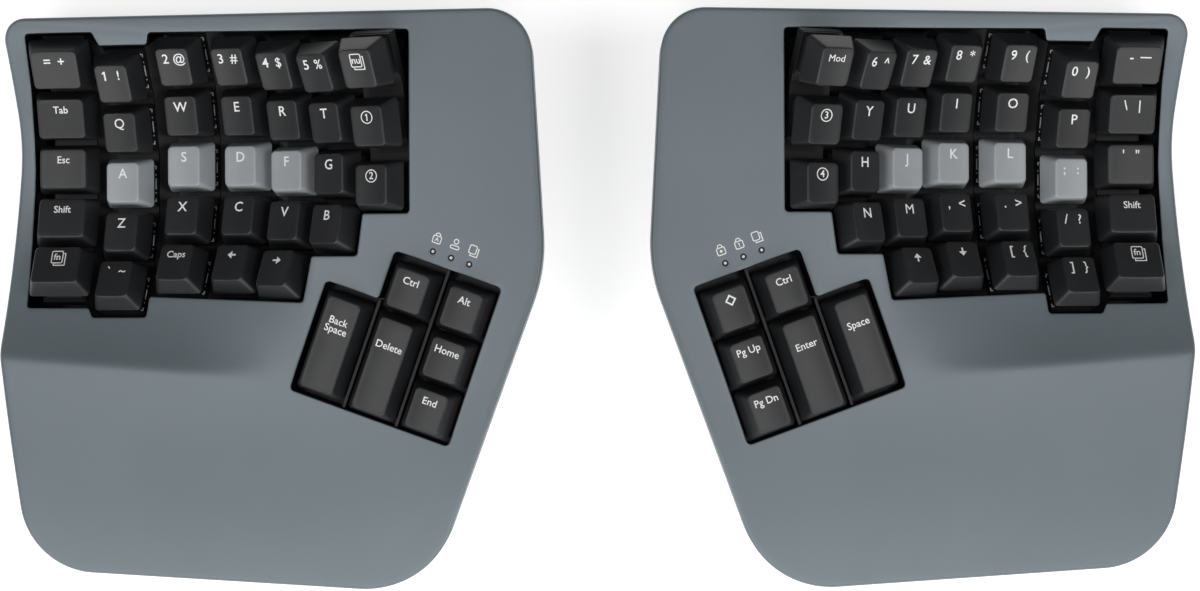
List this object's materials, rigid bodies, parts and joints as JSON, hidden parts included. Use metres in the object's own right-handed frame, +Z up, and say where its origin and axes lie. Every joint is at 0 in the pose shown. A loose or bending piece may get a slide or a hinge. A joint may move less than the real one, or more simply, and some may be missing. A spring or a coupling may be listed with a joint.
{
  "type": "ergonomic split keyboard",
  "caption": "Ergonomic keyboard in separate mirrored halves with concave key wells, turned thumb clusters, long palm rests and a fold-out tenting leg under each half.",
  "frame": {"origin": "middle of the footprint of both halves, on the desk", "axes": "+X to the user's right, +Y away from the user, +Z up"},
  "size_m": [0.4298, 0.2046, 0.0744],
  "materials": {
    "case_paint": "satin slate grey paint",
    "case_base": "fine texture, dark grey",
    "well_black": "matt black",
    "keycap_dark": "satin charcoal",
    "keycap_light": "satin light grey",
    "switch_plastic": "moulded",
    "circuit_board": "solder mask",
    "battery_foil": "foil pouch",
    "light_pipe": "clear diffuse",
    "screw_steel": "plain",
    "rubber": "matt",
    "control_grey": "satin"
  },
  "bodies": {
    "left_half": {"left_top_case": "case_paint", "left_bottom_case": "case_base", "left_key_well": "well_black", "left_thumb_tray": "well_black", "left_switches": "switch_plastic", "left_circuit_board": "circuit_board", "left_battery": "battery_foil", "left_light_pipes": "light_pipe", "left_screws": "screw_steel", "left_feet": "rubber"},
    "left_leg": {"left_tent_leg": "case_base"},
    "left_leg_lock": {"left_tent_buttons": "control_grey"},
    "left_power_slider": {"left_power_switch": "control_grey"},
    "left_bottom_row": {"left_bottom_row_keys": "keycap_dark"},
    "left_lower_row": {"left_lower_row_keys": "keycap_dark"},
    "left_upper_row": {"left_upper_row_keys": "keycap_dark"},
    "left_number_row": {"left_number_row_keys": "keycap_dark"},
    "left_home_inner": {"left_home_key_inner": "keycap_dark"},
    "left_home_reach": {"left_home_key_reach": "keycap_dark"},
    "left_home_index": {"left_home_key_index": "keycap_light"},
    "left_home_middle": {"left_home_key_middle": "keycap_light"},
    "left_home_ring": {"left_home_key_ring": "keycap_light"},
    "left_home_pinky": {"left_home_key_pinky": "keycap_light"},
    "left_home_outer": {"left_home_key_outer": "keycap_dark"},
    "left_thumb_mid": {"left_thumb_key_mid": "keycap_dark"},
    "left_thumb_back": {"left_thumb_key_back": "keycap_dark"},
    "left_thumb_front": {"left_thumb_key_front": "keycap_dark"},
    "left_thumb_second_back": {"left_thumb_key_second_back": "keycap_dark"},
    "left_thumb_second_long": {"left_thumb_key_second_long": "keycap_dark"},
    "left_thumb_third_long": {"left_thumb_key_third_long": "keycap_dark"},
    "right_half": {"right_top_case": "case_paint", "right_bottom_case": "case_base", "right_key_well": "well_black", "right_thumb_tray": "well_black", "right_switches": "switch_plastic", "right_circuit_board": "circuit_board", "right_battery": "battery_foil", "right_light_pipes": "light_pipe", "right_screws": "screw_steel", "right_feet": "rubber"},
    "right_leg": {"right_tent_leg": "case_base"},
    "right_leg_lock": {"right_tent_buttons": "control_grey"},
    "right_power_slider": {"right_power_switch": "control_grey"},
    "right_bottom_row": {"right_bottom_row_keys": "keycap_dark"},
    "right_lower_row": {"right_lower_row_keys": "keycap_dark"},
    "right_upper_row": {"right_upper_row_keys": "keycap_dark"},
    "right_number_row": {"right_number_row_keys": "keycap_dark"},
    "right_home_inner": {"right_home_key_inner": "keycap_dark"},
    "right_home_reach": {"right_home_key_reach": "keycap_dark"},
    "right_home_index": {"right_home_key_index": "keycap_light"},
    "right_home_middle": {"right_home_key_middle": "keycap_light"},
    "right_home_ring": {"right_home_key_ring": "keycap_light"},
    "right_home_pinky": {"right_home_key_pinky": "keycap_light"},
    "right_home_outer": {"right_home_key_outer": "keycap_dark"},
    "right_thumb_mid": {"right_thumb_key_mid": "keycap_dark"},
    "right_thumb_back": {"right_thumb_key_back": "keycap_dark"},
    "right_thumb_front": {"right_thumb_key_front": "keycap_dark"},
    "right_thumb_second_back": {"right_thumb_key_second_back": "keycap_dark"},
    "right_thumb_second_long": {"right_thumb_key_second_long": "keycap_dark"},
    "right_thumb_third_long": {"right_thumb_key_third_long": "keycap_dark"}
  },
  "joints": [
    {"name": "left_leg_hinge", "type": "hinge", "parent": "left_half", "child": "left_leg", "pos_m": [-0.0982, 0.01, 0.0052], "axis": [0, 1, 0], "range_deg": [0, 30]},
    {"name": "left_leg_lock_slide", "type": "slide", "parent": "left_half", "child": "left_leg_lock", "axis": [-1, 0, 0], "range_m": [0, 0.004], "stiffness_N_per_m": 300, "springref_m": -0.003},
    {"name": "left_power_slide", "type": "slide", "parent": "left_half", "child": "left_power_slider", "axis": [-1, 0, 0], "range_m": [0, 0.003]},
    {"name": "left_bottom_row_press", "type": "slide", "parent": "left_half", "child": "left_bottom_row", "axis": [0.2402, -0.4384, -0.8661], "range_m": [0, 0.004], "stiffness_N_per_m": 375, "springref_m": -0.004},
    {"name": "left_lower_row_press", "type": "slide", "parent": "left_half", "child": "left_lower_row", "axis": [0.3092, -0.225, -0.924], "range_m": [0, 0.004], "stiffness_N_per_m": 450, "springref_m": -0.004},
    {"name": "left_upper_row_press", "type": "slide", "parent": "left_half", "child": "left_upper_row", "axis": [0.3092, 0.225, -0.924], "range_m": [0, 0.004], "stiffness_N_per_m": 525, "springref_m": -0.004},
    {"name": "left_number_row_press", "type": "slide", "parent": "left_half", "child": "left_number_row", "axis": [0.2852, 0.4384, -0.8523], "range_m": [0, 0.004], "stiffness_N_per_m": 525, "springref_m": -0.004},
    {"name": "left_home_inner_press", "type": "slide", "parent": "left_half", "child": "left_home_inner", "axis": [0.4067, 0, -0.9135], "range_m": [0, 0.004], "stiffness_N_per_m": 75, "springref_m": -0.004},
    {"name": "left_home_reach_press", "type": "slide", "parent": "left_half", "child": "left_home_reach", "axis": [0.5, 0, -0.866], "range_m": [0, 0.004], "stiffness_N_per_m": 75, "springref_m": -0.004},
    {"name": "left_home_index_press", "type": "slide", "parent": "left_half", "child": "left_home_index", "axis": [0.4067, 0, -0.9135], "range_m": [0, 0.004], "stiffness_N_per_m": 75, "springref_m": -0.004},
    {"name": "left_home_middle_press", "type": "slide", "parent": "left_half", "child": "left_home_middle", "axis": [0.342, 0, -0.9397], "range_m": [0, 0.004], "stiffness_N_per_m": 75, "springref_m": -0.004},
    {"name": "left_home_ring_press", "type": "slide", "parent": "left_half", "child": "left_home_ring", "axis": [0.2588, 0, -0.9659], "range_m": [0, 0.004], "stiffness_N_per_m": 75, "springref_m": -0.004},
    {"name": "left_home_pinky_press", "type": "slide", "parent": "left_half", "child": "left_home_pinky", "axis": [0.225, 0, -0.9744], "range_m": [0, 0.004], "stiffness_N_per_m": 75, "springref_m": -0.004},
    {"name": "left_home_outer_press", "type": "slide", "parent": "left_half", "child": "left_home_outer", "axis": [0.1219, 0, -0.9925], "range_m": [0, 0.004], "stiffness_N_per_m": 75, "springref_m": -0.004},
    {"name": "left_thumb_mid_press", "type": "slide", "parent": "left_half", "child": "left_thumb_mid", "axis": [0.1478, 0, -0.989], "range_m": [0, 0.004], "stiffness_N_per_m": 75, "springref_m": -0.004},
    {"name": "left_thumb_back_press", "type": "slide", "parent": "left_half", "child": "left_thumb_back", "axis": [0.1478, 0, -0.989], "range_m": [0, 0.004], "stiffness_N_per_m": 75, "springref_m": -0.004},
    {"name": "left_thumb_front_press", "type": "slide", "parent": "left_half", "child": "left_thumb_front", "axis": [0.1478, 0, -0.989], "range_m": [0, 0.004], "stiffness_N_per_m": 75, "springref_m": -0.004},
    {"name": "left_thumb_second_back_press", "type": "slide", "parent": "left_half", "child": "left_thumb_second_back", "axis": [0.1478, 0, -0.989], "range_m": [0, 0.004], "stiffness_N_per_m": 75, "springref_m": -0.004},
    {"name": "left_thumb_second_long_press", "type": "slide", "parent": "left_half", "child": "left_thumb_second_long", "axis": [0.1478, 0, -0.989], "range_m": [0, 0.004], "stiffness_N_per_m": 75, "springref_m": -0.004},
    {"name": "left_thumb_third_long_press", "type": "slide", "parent": "left_half", "child": "left_thumb_third_long", "axis": [0.1478, 0, -0.989], "range_m": [0, 0.004], "stiffness_N_per_m": 75, "springref_m": -0.004},
    {"name": "half_spacing", "type": "slide", "parent": "left_half", "child": "right_half", "axis": [1, 0, 0], "range_m": [-0.03, 0.15]},
    {"name": "right_leg_hinge", "type": "hinge", "parent": "right_half", "child": "right_leg", "pos_m": [0.0982, 0.01, 0.0052], "axis": [0, -1, 0], "range_deg": [0, 30]},
    {"name": "right_leg_lock_slide", "type": "slide", "parent": "right_half", "child": "right_leg_lock", "axis": [1, 0, 0], "range_m": [0, 0.004], "stiffness_N_per_m": 300, "springref_m": -0.003},
    {"name": "right_power_slide", "type": "slide", "parent": "right_half", "child": "right_power_slider", "axis": [1, 0, 0], "range_m": [0, 0.003]},
    {"name": "right_bottom_row_press", "type": "slide", "parent": "right_half", "child": "right_bottom_row", "axis": [-0.2402, -0.4384, -0.8661], "range_m": [0, 0.004], "stiffness_N_per_m": 375, "springref_m": -0.004},
    {"name": "right_lower_row_press", "type": "slide", "parent": "right_half", "child": "right_lower_row", "axis": [-0.3092, -0.225, -0.924], "range_m": [0, 0.004], "stiffness_N_per_m": 450, "springref_m": -0.004},
    {"name": "right_upper_row_press", "type": "slide", "parent": "right_half", "child": "right_upper_row", "axis": [-0.3092, 0.225, -0.924], "range_m": [0, 0.004], "stiffness_N_per_m": 525, "springref_m": -0.004},
    {"name": "right_number_row_press", "type": "slide", "parent": "right_half", "child": "right_number_row", "axis": [-0.2852, 0.4384, -0.8523], "range_m": [0, 0.004], "stiffness_N_per_m": 525, "springref_m": -0.004},
    {"name": "right_home_inner_press", "type": "slide", "parent": "right_half", "child": "right_home_inner", "axis": [-0.4067, 0, -0.9135], "range_m": [0, 0.004], "stiffness_N_per_m": 75, "springref_m": -0.004},
    {"name": "right_home_reach_press", "type": "slide", "parent": "right_half", "child": "right_home_reach", "axis": [-0.5, 0, -0.866], "range_m": [0, 0.004], "stiffness_N_per_m": 75, "springref_m": -0.004},
    {"name": "right_home_index_press", "type": "slide", "parent": "right_half", "child": "right_home_index", "axis": [-0.4067, 0, -0.9135], "range_m": [0, 0.004], "stiffness_N_per_m": 75, "springref_m": -0.004},
    {"name": "right_home_middle_press", "type": "slide", "parent": "right_half", "child": "right_home_middle", "axis": [-0.342, 0, -0.9397], "range_m": [0, 0.004], "stiffness_N_per_m": 75, "springref_m": -0.004},
    {"name": "right_home_ring_press", "type": "slide", "parent": "right_half", "child": "right_home_ring", "axis": [-0.2588, 0, -0.9659], "range_m": [0, 0.004], "stiffness_N_per_m": 75, "springref_m": -0.004},
    {"name": "right_home_pinky_press", "type": "slide", "parent": "right_half", "child": "right_home_pinky", "axis": [-0.225, 0, -0.9744], "range_m": [0, 0.004], "stiffness_N_per_m": 75, "springref_m": -0.004},
    {"name": "right_home_outer_press", "type": "slide", "parent": "right_half", "child": "right_home_outer", "axis": [-0.1219, 0, -0.9925], "range_m": [0, 0.004], "stiffness_N_per_m": 75, "springref_m": -0.004},
    {"name": "right_thumb_mid_press", "type": "slide", "parent": "right_half", "child": "right_thumb_mid", "axis": [-0.1478, 0, -0.989], "range_m": [0, 0.004], "stiffness_N_per_m": 75, "springref_m": -0.004},
    {"name": "right_thumb_back_press", "type": "slide", "parent": "right_half", "child": "right_thumb_back", "axis": [-0.1478, 0, -0.989], "range_m": [0, 0.004], "stiffness_N_per_m": 75, "springref_m": -0.004},
    {"name": "right_thumb_front_press", "type": "slide", "parent": "right_half", "child": "right_thumb_front", "axis": [-0.1478, 0, -0.989], "range_m": [0, 0.004], "stiffness_N_per_m": 75, "springref_m": -0.004},
    {"name": "right_thumb_second_back_press", "type": "slide", "parent": "right_half", "child": "right_thumb_second_back", "axis": [-0.1478, 0, -0.989], "range_m": [0, 0.004], "stiffness_N_per_m": 75, "springref_m": -0.004},
    {"name": "right_thumb_second_long_press", "type": "slide", "parent": "right_half", "child": "right_thumb_second_long", "axis": [-0.1478, 0, -0.989], "range_m": [0, 0.004], "stiffness_N_per_m": 75, "springref_m": -0.004},
    {"name": "right_thumb_third_long_press", "type": "slide", "parent": "right_half", "child": "right_thumb_third_long", "axis": [-0.1478, 0, -0.989], "range_m": [0, 0.004], "stiffness_N_per_m": 75, "springref_m": -0.004}
  ]
}
